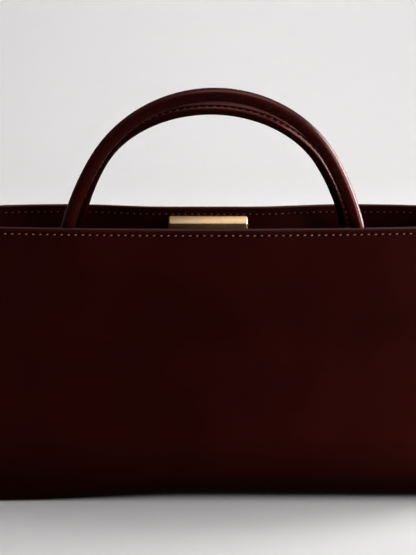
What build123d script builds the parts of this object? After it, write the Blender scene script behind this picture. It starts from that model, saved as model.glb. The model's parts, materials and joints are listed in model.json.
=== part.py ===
from build123d import *
import os
from math import cos, pi, radians, sin

# Structured top-handle satchel. Millimetres, +Z up, front towards -Y.
# The origin is the middle of the footprint, on the surface that the bag stands on.

# ---- Driving dimensions -------------------------------------------------------------------

# Body
bag_width = 340.0
bag_height = 178.5  # floor to rim
base_depth = 120.0
roll_radius = 20.0  # the walls roll under into the base
seam_setback = 2.0  # base seam, inside the end of the roll
front_ease = 3.0  # rim of the front wall stands in from its foot, at the middle
front_pinch = 14.0  # and this much further in at the ends of the mouth
rear_ease = 5.0  # the same for the rear wall, at the handle roots
rear_pinch = 12.0
rear_dip = 12.0  # the rear rim bows in between the handle roots
gusset_fold = 18.0  # the gussets fold inwards at the mouth

# Leather, board and lining
shell_leather = 1.8
gusset_leather = 1.6
facing_leather = 1.6
facing_height = 62.0
stiffener_board = 0.8
lining_cloth = 0.8
base_board_thickness = 2.0
board_clearance = 0.4

# Handles
tube_radius = 4.2
core_radius = 2.7
crown_radius = 88.2  # centreline radius over the top
crown_half_angle = 58.0
leg_radius = 158.0  # centreline radius of each leg
root_angle = 8.0  # leg from the vertical, at its root
root_run = 3.1  # straight stretch above the root pivot
hinge_drop = 22.0  # rim to root pivot
handle_wall_gap = 2.6  # handle surface to the facing
knuckle_wall = 0.5  # knuckle radius over the handle's own
knuckle_length = 12.0
pivot_clearance = 0.08
front_lean = 0.0  # at rest, towards the mouth
rear_lean = 28.0

# Handle tabs and their rivets
tab_width = 20.0
tab_thickness = 2.0
tab_length = 33.0  # below the root pivot
tab_corner = 8.0
tab_taper = 11.0  # height over which a tab thins from the saddle
saddle_drop = 3.0  # saddle top below the root pivot
saddle_reach = 5.4  # saddle beyond the pivot, towards the mouth
rivet_radius = 1.5
rivet_head_radius = 3.4
rivet_head_height = 1.1
rivet_first = 16.0  # below the root pivot
rivet_pitch = 10.0

# Magnetic clasp: a chamfered bar on the rear wall, a flatter plate on the front wall
clasp_width = 55.0
clasp_height = 14.0
clasp_drop = 6.0  # rim to the top of the bar
bar_depth = 8.0
bar_chamfer = 4.4
catch_depth = 4.0
catch_chamfer = 1.2
clasp_end_chamfer = 1.0
magnet_width = 34.0
magnet_height = 8.0
bar_magnet_depth = 3.0
catch_magnet_depth = 2.0
magnet_cover = 1.4  # metal in front of a magnet
backplate_thickness = 0.7
backplate_margin = 1.5
screw_offset = 22.0
screw_radius = 1.25
screw_head_radius = 2.4
screw_head_height = 1.15
screw_tip_gap = 1.0  # metal left in front of a screw's tip

# ---- Derived values -----------------------------------------------------------------------

half_width = bag_width / 2
half_depth = base_depth / 2
base_half = half_depth - roll_radius - seam_setback
band_bottom = bag_height - facing_height
front_end_depth = half_depth - front_ease - front_pinch
lining_inset = shell_leather + stiffener_board
inner_inset = shell_leather + facing_leather
overrun = 10.0  # cutting bodies reach this far past what they cut

leg_turn = 90 - crown_half_angle - root_angle
leg_top_angle = root_angle + leg_turn
leg_run = leg_radius * (cos(radians(root_angle)) - cos(radians(leg_top_angle)))
root_x = (
    crown_radius * sin(radians(crown_half_angle)) + leg_run + root_run * sin(radians(root_angle))
)
hinge_z = bag_height - hinge_drop
knuckle_radius = tube_radius + knuckle_wall
hinge_offset = handle_wall_gap + tube_radius

clasp_top = bag_height - clasp_drop
clasp_middle = clasp_top - clasp_height / 2

SAMPLES = 20  # stretches in each formed curve of the mouth


# ---- Shape of the walls -------------------------------------------------------------------


def front_rim(x):
    """Outer face of the front wall at the mouth: it bows out between its ends."""
    return -(half_depth - front_ease) + front_pinch * (x / half_width) ** 2


def rear_rim(x):
    """Outer face of the rear wall at the mouth: it dips in between the handle roots.

    It is straight behind the clasp, which is stiff.
    """
    high = half_depth - rear_ease
    past_clasp = abs(x) - clasp_width / 2
    past_root = abs(x) - root_x
    if past_clasp < 0:
        return high - rear_dip
    if past_root < 0:
        return high - rear_dip * cos(pi / 2 * past_clasp / (past_clasp - past_root)) ** 2
    return high - rear_pinch * (past_root / (half_width - root_x)) ** 2


def gusset_rim(y):
    """How far a gusset folds in at the mouth."""
    if abs(y) < front_end_depth:
        return gusset_fold * cos(pi * y / (2 * front_end_depth)) ** 2
    return 0.0


def stations(reach):
    """Evenly spaced places from -reach to +reach."""
    return [reach * (2 * i / SAMPLES - 1) for i in range(SAMPLES + 1)]


def box_between(low, high):
    """A plain block between two corners."""
    with BuildPart() as block:
        with BuildSketch(Plane.XY.offset(low[2])):
            with Locations(((low[0] + high[0]) / 2, (low[1] + high[1]) / 2)):
                Rectangle(high[0] - low[0], high[1] - low[1])
        extrude(amount=high[2] - low[2])
    return block.part


def outline(height, corners):
    """A straight-sided level outline at a height."""
    with BuildSketch(Plane.XY.offset(height)) as level:
        with BuildLine():
            Polyline(*corners, close=True)
        make_face()
    return level.sketch


def wall_body(inset):
    """Everything between the front and rear walls, above the base, at a depth into the wall.

    It runs past both ends of the bag.
    """
    reach = half_width + overrun
    foot = half_depth - inset
    with BuildSketch(Plane.XY.offset(band_bottom)) as mouth:
        with BuildLine():
            front = Spline(*[(x, front_rim(x) + inset) for x in stations(reach)])
            rear = Spline(*[(-x, rear_rim(x) - inset) for x in stations(reach)])
            Line(front @ 1, rear @ 0)
            Line(rear @ 1, front @ 0)
        make_face()
    with BuildSketch(Plane.YZ.offset(-reach)) as roll_section:
        with BuildLine():
            flat = half_depth - roll_radius
            roll = roll_radius - inset
            Line((foot, roll_radius), (-foot, roll_radius))
            CenterArc((-flat, roll_radius), roll, start_angle=180, arc_size=90)
            Line((-flat, inset), (flat, inset))
            CenterArc((flat, roll_radius), roll, start_angle=270, arc_size=90)
        make_face()
    corners = [(-reach, -foot), (reach, -foot), (reach, foot), (-reach, foot)]
    floor = outline(roll_radius, corners)
    with BuildPart() as body:
        extrude(mouth.sketch, amount=facing_height)
        loft(sections=[floor, mouth.sketch], ruled=True)
        extrude(roll_section.sketch, amount=2 * reach)
    return body.part


def end_body(inset):
    """Everything between the two gussets at a depth into the leather, past front and rear."""
    reach = half_depth + overrun
    end = half_width - inset
    with BuildSketch(Plane.XY.offset(band_bottom)) as mouth:
        with BuildLine():
            right = Spline(*[(end - gusset_rim(y), y) for y in stations(reach)])
            left = Spline(*[(gusset_rim(y) - end, -y) for y in stations(reach)])
            Line(right @ 1, left @ 0)
            Line(left @ 1, right @ 0)
        make_face()
    corners = [(end, -reach), (end, reach), (-end, reach), (-end, -reach)]
    floor = outline(roll_radius, corners)
    with BuildPart() as body:
        extrude(mouth.sketch, amount=facing_height)
        loft(sections=[floor, mouth.sketch], ruled=True)
        extrude(outline(-overrun, corners), amount=roll_radius + overrun)
    return body.part


def wall_zone(side, low, high):
    """The block on one side of the bag (-1 front, 1 rear) between two heights.

    Below the end of the roll it stops at the base seam.
    """
    reach = half_width + 2 * overrun
    far = side * (half_depth + overrun)
    seam = side * base_half
    with BuildPart() as zone:
        with BuildSketch(Plane.YZ.offset(-reach)):
            with BuildLine():
                if low < roll_radius:
                    corners = [(seam, low), (seam, roll_radius), (0, roll_radius)]
                else:
                    corners = [(0, low)]
                Polyline((far, low), *corners, (0, high), (far, high), close=True)
            make_face()
        extrude(amount=2 * reach)
    return zone.part


def keep_common(label, *bodies):
    """What the given bodies share, as one labelled piece."""
    with BuildPart() as piece:
        add(bodies[0])
        for body in bodies[1:]:
            add(body, mode=Mode.INTERSECT)
    piece.part.label = label
    return piece.part


def difference(body, *cutters):
    """A body without the cutters."""
    with BuildPart() as piece:
        add(body)
        for cutter in cutters:
            add(cutter, mode=Mode.SUBTRACT)
    return piece.part


outside = wall_body(0)
behind_shell = wall_body(shell_leather)
behind_stiffener = wall_body(lining_inset)
cavity = wall_body(inner_inset)
ends = end_body(0)
behind_gusset = end_body(gusset_leather)
behind_end_lining = end_body(gusset_leather + lining_cloth)

below = -overrun
above = bag_height + overrun
shell_layer = difference(outside, behind_shell)
facing_layer = difference(behind_shell, cavity)
stiffener_layer = difference(behind_shell, behind_stiffener)
lining_layer = difference(behind_stiffener, cavity)
pieces = {}

# ---- Shell, facings, stiffeners and linings -----------------------------------------------

for name, side in (("front", -1), ("rear", 1)):
    whole_wall = wall_zone(side, below, above)
    rim_band = wall_zone(side, band_bottom, above)
    lower_wall = wall_zone(side, below, band_bottom)
    pieces[f"{name}_panel"] = keep_common(f"{name}_panel", shell_layer, ends, whole_wall)
    pieces[f"{name}_facing"] = keep_common(
        f"{name}_facing", facing_layer, behind_gusset, rim_band
    )
    pieces[f"{name}_stiffener"] = keep_common(
        f"{name}_stiffener", stiffener_layer, behind_gusset, lower_wall
    )
    pieces[f"{name}_lining"] = keep_common(
        f"{name}_lining", lining_layer, behind_gusset, lower_wall
    )

gusset_layer = difference(ends, behind_gusset)
end_lining_layer = difference(behind_gusset, behind_end_lining)
for name, side in (("left", -1), ("right", 1)):
    x_low, x_high = sorted((0, side * (half_width + overrun)))
    half = box_between(
        (x_low, -half_depth - overrun, below), (x_high, half_depth + overrun, above)
    )
    pieces[f"{name}_gusset"] = keep_common(f"{name}_gusset", gusset_layer, behind_shell, half)
    pieces[f"{name}_gusset_lining"] = keep_common(
        f"{name}_gusset_lining", end_lining_layer, cavity, half
    )

with BuildPart() as base_panel:
    with BuildSketch(Plane.XY):
        Rectangle(bag_width, 2 * base_half)
    extrude(amount=shell_leather)
base_panel.part.label = "base_panel"
pieces["base_panel"] = base_panel.part

board_length = bag_width - 2 * (gusset_leather + lining_cloth + board_clearance)
board_width = 2 * (base_half - board_clearance)
board_top = shell_leather + base_board_thickness
with BuildPart() as base_board:
    with BuildSketch(Plane.XY.offset(shell_leather)):
        Rectangle(board_length, board_width)
    extrude(amount=base_board_thickness)
base_board.part.label = "base_board"
pieces["base_board"] = base_board.part

with BuildPart() as base_lining:
    with BuildSketch(Plane.XY.offset(board_top)):
        Rectangle(board_length, board_width)
    extrude(amount=lining_cloth)
base_lining.part.label = "base_lining"
pieces["base_lining"] = base_lining.part

# ---- Handles ------------------------------------------------------------------------------


def root_face(side):
    """Inner face of a facing where the handles come down."""
    if side < 0:
        return front_rim(root_x) + inner_inset
    return rear_rim(root_x) - inner_inset


def hinge_y(side):
    """Where a handle's root pivot stands in the depth of the bag."""
    return root_face(side) - side * hinge_offset


def handle_plane(side, lean):
    """The plane a handle lies in: local X across the bag, local Y up the handle."""
    tilt = radians(lean)
    up_y = -side * sin(tilt)
    up_z = cos(tilt)
    return Plane(origin=(0, hinge_y(side), hinge_z), x_dir=(1, 0, 0), z_dir=(0, -up_z, up_y))


def handle_tube(plane, radius):
    """A round bar along a handle's centreline, from pivot to pivot."""
    with BuildPart() as tube:
        with BuildLine(plane) as route:
            run_x = root_run * sin(radians(root_angle))
            run_y = root_run * cos(radians(root_angle))
            start = Line((-root_x, 0), (run_x - root_x, run_y))
            left = JernArc(
                start=start @ 1, tangent=start % 1, radius=leg_radius, arc_size=-leg_turn
            )
            crown = JernArc(
                start=left @ 1,
                tangent=left % 1,
                radius=crown_radius,
                arc_size=-2 * crown_half_angle,
            )
            right = JernArc(
                start=crown @ 1, tangent=crown % 1, radius=leg_radius, arc_size=-leg_turn
            )
            Line(right @ 1, plane.from_local_coords((root_x, 0)))
        path = route.wire()
        with BuildSketch(Plane(origin=path @ 0, z_dir=path % 0)):
            Circle(radius)
        sweep(path=path)
    return tube.part


def knuckle(side, x, radius, length):
    """A short bar across the bag on a handle's pivot axis."""
    with BuildPart() as bar:
        with BuildSketch(Plane.YZ.offset(x - length / 2)):
            with Locations((hinge_y(side), hinge_z)):
                Circle(radius)
        extrude(amount=length)
    return bar.part


def handle_tab(side, x):
    """A tab under one handle root: a saddle for the knuckle that thins to flat leather."""
    inward = -side
    face = root_face(side)
    top = hinge_z - saddle_drop
    lip = hinge_y(side) + inward * saddle_reach
    with BuildPart() as tab:
        with BuildSketch(Plane.YZ.offset(x - tab_width / 2)):
            with BuildLine():
                Polyline(
                    (face + side * overrun, top),
                    (lip, top),
                    (lip, top - saddle_drop),
                    (face + inward * tab_thickness, top - saddle_drop - tab_taper),
                    (face + inward * tab_thickness, hinge_z - tab_length),
                    (face + side * overrun, hinge_z - tab_length),
                    close=True,
                )
            make_face()
        extrude(amount=tab_width)
        low_corners = tab.edges().filter_by(Axis.Y).group_by(Axis.Z)[0]
        fillet(low_corners, radius=tab_corner)
        add(cavity, mode=Mode.INTERSECT)
        add(
            knuckle(side, x, knuckle_radius + pivot_clearance, tab_width + overrun),
            mode=Mode.SUBTRACT,
        )
    return tab.part


def tab_rivet(side, x, z):
    """A domed rivet that holds a tab to the facing, set before the facing is sewn in."""
    inward = -side
    face = root_face(side)
    seat = face + inward * tab_thickness
    with BuildPart() as rivet:
        with BuildSketch(Plane(origin=(x, seat, z), x_dir=(1, 0, 0), z_dir=(0, inward, 0))):
            Circle(rivet_head_radius)
        extrude(amount=rivet_head_height)
        rim = rivet.edges().filter_by(GeomType.CIRCLE).sort_by(Axis.Y)
        fillet(rim[-1] if inward > 0 else rim[0], radius=rivet_head_height * 0.8)
        with BuildSketch(Plane(origin=(x, seat, z), x_dir=(1, 0, 0), z_dir=(0, side, 0))):
            Circle(rivet_radius)
        extrude(amount=tab_thickness + facing_leather + overrun)
        add(behind_shell, mode=Mode.INTERSECT)
    return rivet.part


for name, side, lean in (("front", -1, front_lean), ("rear", 1, rear_lean)):
    plane = handle_plane(side, lean)
    core = handle_tube(plane, core_radius)
    core.label = f"{name}_handle_core"
    pieces[core.label] = core
    with BuildPart() as cover:
        add(handle_tube(plane, tube_radius))
        for x in (-root_x, root_x):
            add(knuckle(side, x, knuckle_radius, knuckle_length))
        add(core, mode=Mode.SUBTRACT)
    cover.part.label = f"{name}_handle_cover"
    pieces[cover.part.label] = cover.part

    rivets = []
    facing = pieces[f"{name}_facing"]
    for end_name, x in (("left", -root_x), ("right", root_x)):
        own_rivets = [
            tab_rivet(side, x, hinge_z - rivet_first - i * rivet_pitch) for i in range(2)
        ]
        tab = difference(handle_tab(side, x), *own_rivets)
        tab.label = f"{name}_{end_name}_handle_tab"
        pieces[tab.label] = tab
        rivets += own_rivets
    pieces[f"{name}_facing"] = difference(facing, *rivets)
    pieces[f"{name}_facing"].label = f"{name}_facing"
    pieces[f"{name}_handle_rivets"] = Compound(label=f"{name}_handle_rivets", children=rivets)

# ---- Magnetic clasp -----------------------------------------------------------------------


def clasp_block(side, depth, edge_chamfer):
    """A closure block on a facing, with a chamfered top edge and lightly chamfered ends."""
    inward = -side
    face = rear_rim(0) - inner_inset if side > 0 else front_rim(0) + inner_inset
    front = face + inward * depth
    back = face + side * overrun
    low = clasp_top - clasp_height
    with BuildPart() as block:
        with BuildSketch(Plane.YZ.offset(-clasp_width / 2)):
            with BuildLine():
                Polyline(
                    (back, low),
                    (front, low),
                    (front, clasp_top - edge_chamfer),
                    (front + side * edge_chamfer, clasp_top),
                    (back, clasp_top),
                    close=True,
                )
            make_face()
        extrude(amount=clasp_width)
        end_edges = block.faces().filter_by(Axis.X).edges()
        shown = [edge for edge in end_edges if abs(edge.center().Y - back) > edge_chamfer / 4]
        chamfer(shown, length=clasp_end_chamfer)
        add(cavity, mode=Mode.INTERSECT)
    return block.part


def clasp_screw(side, x, depth):
    """A countersunk screw from behind the facing into the closure block."""
    inward = -side
    rim = rear_rim(x) if side > 0 else front_rim(x)
    back = rim - side * shell_leather
    length = facing_leather + depth - screw_tip_gap - clasp_end_chamfer
    plane = Plane(origin=(x, back, clasp_middle), x_dir=(1, 0, 0), z_dir=(0, inward, 0))
    with BuildPart() as screw:
        with BuildSketch(plane):
            Circle(screw_head_radius)
        with BuildSketch(plane.offset(screw_head_height)):
            Circle(screw_radius)
        loft()
        with BuildSketch(plane.offset(screw_head_height)):
            Circle(screw_radius)
        extrude(amount=length - screw_head_height)
        with BuildSketch(plane):
            Circle(screw_head_radius)
        extrude(amount=-overrun)
        add(behind_shell, mode=Mode.INTERSECT)
    return screw.part


for name, side, depth, edge, magnet_depth, facing_name in (
    ("clasp", 1, bar_depth, bar_chamfer, bar_magnet_depth, "rear_facing"),
    ("catch", -1, catch_depth, catch_chamfer, catch_magnet_depth, "front_facing"),
):
    inward = -side
    face = rear_rim(0) - inner_inset if side > 0 else front_rim(0) + inner_inset
    magnet_front = face + inward * (depth - magnet_cover)
    magnet_back = magnet_front + side * magnet_depth
    y_low, y_high = sorted((magnet_front, magnet_back))
    magnet = box_between(
        (-magnet_width / 2, y_low, clasp_middle - magnet_height / 2),
        (magnet_width / 2, y_high, clasp_middle + magnet_height / 2),
    )
    magnet.label = f"{name}_magnet"
    pieces[magnet.label] = magnet
    pocket_low, pocket_high = sorted((magnet_front, face + side * overrun))
    pocket = box_between(
        (-magnet_width / 2, pocket_low, clasp_middle - magnet_height / 2),
        (magnet_width / 2, pocket_high, clasp_middle + magnet_height / 2),
    )
    screws = [clasp_screw(side, x, depth) for x in (-screw_offset, screw_offset)]
    block = difference(clasp_block(side, depth, edge), pocket, *screws)
    block.label = f"{name}_bar" if side > 0 else f"{name}_plate"
    pieces[block.label] = block

    plate_half = clasp_width / 2 - backplate_margin
    plate_zone = box_between(
        (-plate_half, -half_depth - overrun, clasp_top - clasp_height + backplate_margin),
        (plate_half, half_depth + overrun, clasp_top - backplate_margin),
    )
    plate_layer = difference(behind_shell, wall_body(shell_leather + backplate_thickness))
    plate_side = wall_zone(side, band_bottom, above)
    plate = keep_common(f"{name}_backplate", plate_layer, plate_zone, plate_side)
    backplate = difference(plate, *screws)
    backplate.label = f"{name}_backplate"
    pieces[backplate.label] = backplate
    facing = difference(pieces[facing_name], plate, *screws)
    facing.label = facing_name
    pieces[facing_name] = facing
    pieces[f"{name}_screws"] = Compound(label=f"{name}_screws", children=screws)

# ---- Files --------------------------------------------------------------------------------

os.makedirs("parts", exist_ok=True)
for label, piece in pieces.items():
    export_step(piece, f"parts/{label}.step")
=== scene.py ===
"""Structured top-handle satchel in burgundy leather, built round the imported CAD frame."""

import json
import logging
import math
from dataclasses import dataclass
from enum import Enum
from typing import Callable, Sequence

import bmesh
import bpy
from bmesh.types import BMEdge, BMesh
from bpy.types import Material, Node, NodeTree, Object
from bpy.types import NodeSocket as Socket
from mathutils import Matrix, Vector


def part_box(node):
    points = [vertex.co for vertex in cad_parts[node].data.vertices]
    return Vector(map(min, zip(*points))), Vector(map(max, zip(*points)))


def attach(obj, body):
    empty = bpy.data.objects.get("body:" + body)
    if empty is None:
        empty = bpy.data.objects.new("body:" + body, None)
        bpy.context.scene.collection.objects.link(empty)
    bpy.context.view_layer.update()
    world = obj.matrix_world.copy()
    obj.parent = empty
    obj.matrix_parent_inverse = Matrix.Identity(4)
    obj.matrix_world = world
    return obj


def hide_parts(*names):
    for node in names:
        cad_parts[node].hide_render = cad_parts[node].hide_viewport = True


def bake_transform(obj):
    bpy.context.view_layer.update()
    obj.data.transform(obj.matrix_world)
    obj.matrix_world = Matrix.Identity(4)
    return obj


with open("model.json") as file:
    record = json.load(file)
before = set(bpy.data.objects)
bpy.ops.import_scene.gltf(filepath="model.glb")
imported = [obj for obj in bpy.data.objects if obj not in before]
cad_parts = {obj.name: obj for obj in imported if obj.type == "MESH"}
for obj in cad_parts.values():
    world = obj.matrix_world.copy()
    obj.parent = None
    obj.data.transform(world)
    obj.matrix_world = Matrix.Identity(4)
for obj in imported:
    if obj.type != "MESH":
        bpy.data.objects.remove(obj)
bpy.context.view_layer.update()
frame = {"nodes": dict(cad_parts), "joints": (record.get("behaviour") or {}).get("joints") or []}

log = logging.getLogger("satchel")

MM = 0.001
END_WORDS = {-1: "left", 1: "right"}
ROOT_X = 97.7 * MM
EDGE_SQUARENESS = 2.5
# Shares of a wall's section, from the base seam, at which its roll starts and ends
ROLL_START, ROLL_END = 0.05, 0.3
# Where the handle's seam lies, in degrees, by the share of the way from the apex to a root
SEAM_STOPS = (
    (-1.0, 53),
    (-0.72, 22),
    (-0.56, -8),
    (-0.3, 34),
    (-0.15, 43),
    (0.22, 43),
    (0.52, 34),
    (0.75, 27),
    (1.0, 20),
)
Place = Callable[[float, float], Vector]
Spot = tuple[Vector, Vector, Vector]
Triple = tuple[float, float, float]
Colour = Triple


class Side(Enum):
    """Which long wall of the bag, by the sign of its Y."""

    FRONT = -1
    REAR = 1

    @property
    def label(self) -> str:
        """The word that piece names start with."""
        return self.name.lower()


class Facing(Enum):
    """Which face of a wall a row of stitches lies on."""

    OUTSIDE = 1
    INSIDE = -1


# ---- Small helpers ------------------------------------------------------------------------


def smooth(value: float) -> float:
    """Eases from 0 to 1."""
    value = min(1.0, max(0.0, value))
    return value * value * (3 - 2 * value)


def lerp(a: float, b: float, share: float) -> float:
    """The value a share of the way from a to b."""
    return a + (b - a) * share


def superellipse(angle: float, width: float, height: float, power: float) -> tuple[float, float]:
    """A point of a rounded section.

    Args:
        angle: Place round the section, in radians.
        width: Half size along the first axis.
        height: Half size along the second axis.
        power: 2 for an ellipse, more for a squarer section.

    Returns:
        The point's two coordinates.
    """
    c, s = math.cos(angle), math.sin(angle)
    exponent = 2 / power
    return (
        width * math.copysign(abs(c) ** exponent, c),
        height * math.copysign(abs(s) ** exponent, s),
    )


def lofted(columns: int, rows: int, place: Place) -> BMesh:
    """A closed skin: a grid wrapped round on itself along v, with its two open ends filled.

    Args:
        columns: Faces along u.
        rows: Faces round v.
        place: Gives the point for u and v, each from 0 to 1. v = 0 and v = 1 coincide.

    Returns:
        The new mesh.
    """
    bm = bmesh.new()
    bmesh.ops.create_grid(bm, x_segments=columns, y_segments=rows, size=1.0)
    low_x, high_x = min(v.co.x for v in bm.verts), max(v.co.x for v in bm.verts)
    low_y, high_y = min(v.co.y for v in bm.verts), max(v.co.y for v in bm.verts)
    for vert in bm.verts:
        u = (vert.co.x - low_x) / (high_x - low_x)
        v = (vert.co.y - low_y) / (high_y - low_y)
        vert.co = place(u, v)
    bmesh.ops.remove_doubles(bm, verts=bm.verts[:], dist=1e-6)
    bmesh.ops.holes_fill(bm, edges=[e for e in bm.edges if e.is_boundary], sides=0)
    return bm


def mound(place: float, middle: float, width: float) -> float:
    """A smooth bump of height 1 round a middle."""
    return math.exp(-(((place - middle) / width) ** 2))


def round_sheet(v: float, rows: int) -> tuple[bool, float]:
    """Reads a place round a sheet's section: up its outer face, then down its inner one.

    Args:
        v: Place round the section, from 0 to 1.
        rows: Faces up each side.

    Returns:
        Whether the place is on the outer face, and its share of the way up.
    """
    total = 2 * rows + 2
    step = round(v * total) % total
    outer = step <= rows
    return outer, (step if outer else total - 1 - step) / rows


def block(low: Vector, high: Vector) -> BMesh:
    """A plain block between two corners."""
    bm = bmesh.new()
    place = Matrix.Translation((low + high) / 2) @ Matrix.Diagonal((*(high - low), 1))
    bmesh.ops.create_cube(bm, size=1.0, matrix=place)
    return bm


def bevel(
    bm: BMesh, edges: Sequence[BMEdge], offset: float, segments: int = 1
) -> None:
    """Bevels some edges of a mesh."""
    bmesh.ops.bevel(
        bm,
        geom=edges,
        offset=offset,
        affect="EDGES",
        segments=segments,
        profile=0.5,
        material=-1,
    )


def make_piece(
    bm: BMesh, name: str, finish: Material, sharp: float = 40.0
) -> Object:
    """Turns a mesh under construction into a finished object at the origin.

    Args:
        bm: The mesh, which is used up.
        name: Name of the piece.
        finish: Its material.
        sharp: Edges that turn by more degrees than this stay crisp.

    Returns:
        The new object.
    """
    bmesh.ops.remove_doubles(bm, verts=bm.verts[:], dist=1e-6)
    bmesh.ops.recalc_face_normals(bm, faces=bm.faces[:])
    mesh = bpy.data.meshes.new(name)
    bm.to_mesh(mesh)
    bm.free()
    mesh.shade_smooth()
    mesh.set_sharp_from_angle(angle=math.radians(sharp))
    mesh.materials.append(finish)
    piece = bpy.data.objects.new(name, mesh)
    bpy.context.scene.collection.objects.link(piece)
    log.info("%s: %d faces", name, len(mesh.polygons))
    return piece


def edge_strip(
    name: str,
    faces: tuple[int, int],
    half: tuple[float, float],
    seat: Callable[[float, float, float], Vector],
    finish: Material,
) -> Object:
    """A rounded strip of edge paint.

    Args:
        name: Name of the piece.
        faces: Faces along it and round it.
        half: Half its thickness, across the leather and outwards.
        seat: Gives the point for a share along, a place across and a place outwards.
        finish: Its material.

    Returns:
        The piece.
    """

    def place(u: float, v: float) -> Vector:
        across, out = superellipse(2 * math.pi * v, *half, EDGE_SQUARENESS)
        return seat(u, across, out)

    return make_piece(lofted(*faces, place), name, finish, 80)


# ---- Finishes -----------------------------------------------------------------------------


@dataclass
class Shader:
    """A material's node tree with short ways to add to it."""

    tree: NodeTree

    def add(self, kind: str, **inputs: object) -> Node:
        """Adds a node and sets or links its inputs.

        Args:
            kind: Node type.
            **inputs: Values or sockets, by input name with _ for a space.

        Returns:
            The node.
        """
        node = self.tree.nodes.new(kind)
        for key, value in inputs.items():
            self.put(node.inputs[key.replace("_", " ")], value)
        return node

    def put(self, socket: Socket, value: object) -> None:
        """Links a socket to an input, or sets its value."""
        if isinstance(value, Socket):
            self.tree.links.new(value, socket)
        else:
            socket.default_value = value

    def math(self, operation: str, a: object, b: object = 0.0) -> Socket:
        """The result of a sum on two values or sockets."""
        node = self.tree.nodes.new("ShaderNodeMath")
        node.operation = operation
        self.put(node.inputs[0], a)
        self.put(node.inputs[1], b)
        return node.outputs[0]

    def span(
        self, value: object, low: float, high: float, to_low: float, to_high: float
    ) -> Socket:
        """Maps a value from one range to another, held at both ends."""
        node = self.add(
            "ShaderNodeMapRange",
            Value=value,
            From_Min=low,
            From_Max=high,
            To_Min=to_low,
            To_Max=to_high,
        )
        return node.outputs[0]

    def blend(self, share: object, a: object, b: object) -> Socket:
        """Mixes two colours."""
        node = self.tree.nodes.new("ShaderNodeMix")
        node.data_type = "RGBA"
        self.put(node.inputs[0], share)
        self.put(node.inputs[6], a)
        self.put(node.inputs[7], b)
        return node.outputs[2]

    def bump(self, height: object, depth: float) -> Socket:
        """A normal from a height."""
        node = self.add("ShaderNodeBump", Height=height, Distance=depth, Strength=1.0)
        return node.outputs["Normal"]

    def noise(
        self, vector: object, scale: float, detail: float = 3.0, rough: float = 0.5
    ) -> Socket:
        """A noise value."""
        node = self.add(
            "ShaderNodeTexNoise", Vector=vector, Scale=scale, Detail=detail, Roughness=rough
        )
        return node.outputs[0]

    def stretched(self, vector: object, scale: Sequence[float]) -> Socket:
        """Coordinates scaled differently along each axis."""
        node = self.tree.nodes.new("ShaderNodeMapping")
        self.put(node.inputs["Vector"], vector)
        node.inputs["Scale"].default_value = scale
        return node.outputs[0]

    def group(self, tree: NodeTree, **inputs: object) -> Node:
        """Places a shared effect."""
        node = self.tree.nodes.new("ShaderNodeGroup")
        node.node_tree = tree
        for key, value in inputs.items():
            self.put(node.inputs[key], value)
        return node


def new_effect(name: str, inputs: dict[str, str], outputs: Sequence[str]) -> NodeTree:
    """An empty node group with named sockets.

    Args:
        name: Name of the group.
        inputs: Socket type of each input.
        outputs: Names of the value outputs.

    Returns:
        The node group.
    """
    tree = bpy.data.node_groups.new(name, "ShaderNodeTree")
    for key, kind in inputs.items():
        tree.interface.new_socket(name=key, in_out="INPUT", socket_type=kind)
    for key in outputs:
        tree.interface.new_socket(name=key, in_out="OUTPUT", socket_type="NodeSocketFloat")
    return tree


def group_ends(tree: NodeTree) -> tuple[Shader, Node, Node]:
    """A new group's shader helper with its input and output nodes."""
    return Shader(tree), tree.nodes.new("NodeGroupInput"), tree.nodes.new("NodeGroupOutput")


class Effects:
    """Patterns that several finishes share."""

    def __init__(self) -> None:
        self.hide = self._hide()
        self.handling = self._handling()

    def _hide(self) -> NodeTree:
        """Fine pores and creases of a polished hide."""
        tree = new_effect(
            "hide_grain", {"Vector": "NodeSocketVector", "Scale": "NodeSocketFloat"}, ["Height"]
        )
        s, source, target = group_ends(tree)
        pores = s.add("ShaderNodeTexVoronoi", Vector=source.outputs[0], Scale=source.outputs[1])
        pores.feature = "SMOOTH_F1"
        creases = s.add("ShaderNodeTexNoise", Vector=source.outputs[0], Detail=4.0)
        s.put(creases.inputs["Scale"], s.math("MULTIPLY", source.outputs[1], 0.6))
        half = s.math("MULTIPLY", creases.outputs[0], 0.8)
        s.put(target.inputs[0], s.math("ADD", pores.outputs[0], half))
        return tree

    def _handling(self) -> NodeTree:
        """Broad unevenness of the dye and soft marks of use."""
        tree = new_effect("handling_marks", {"Vector": "NodeSocketVector"}, ["Dye", "Marks"])
        s, source, target = group_ends(tree)
        dye = s.noise(source.outputs[0], 11.0, 3.0, 0.55)
        s.put(target.inputs[0], s.span(dye, 0.32, 0.68, 0.0, 1.0))
        marks = s.noise(source.outputs[0], 95.0, 7.0, 0.62)
        s.put(target.inputs[1], s.span(marks, 0.45, 0.78, 0.0, 1.0))
        return tree


def blank_material(
    name: str,
) -> tuple[Material, Shader, Node, Socket]:
    """A material with only its shader and the coordinates that its patterns read.

    Args:
        name: Name of the material.

    Returns:
        The material, its node tree, its shader node and its object coordinates.
    """
    material = bpy.data.materials.new(name)
    material.use_nodes = True
    s = Shader(material.node_tree)
    shader = material.node_tree.nodes["Principled BSDF"]
    where = material.node_tree.nodes.new("ShaderNodeTexCoord").outputs["Object"]
    return material, s, shader, where


@dataclass(frozen=True)
class Finish:
    """A kind of surface under its material's name."""

    name: str

    def make(self, effects: Effects) -> Material:
        """Builds the material.

        Args:
            effects: The shared patterns.

        Returns:
            The material.
        """
        material, s, shader, where = blank_material(self.name)
        self.paint(s, shader, where, effects)
        return material

    def paint(self, s: Shader, shader: Node, where: Socket, effects: Effects) -> None:
        """Sets the shader's inputs."""
        raise NotImplementedError


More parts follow.
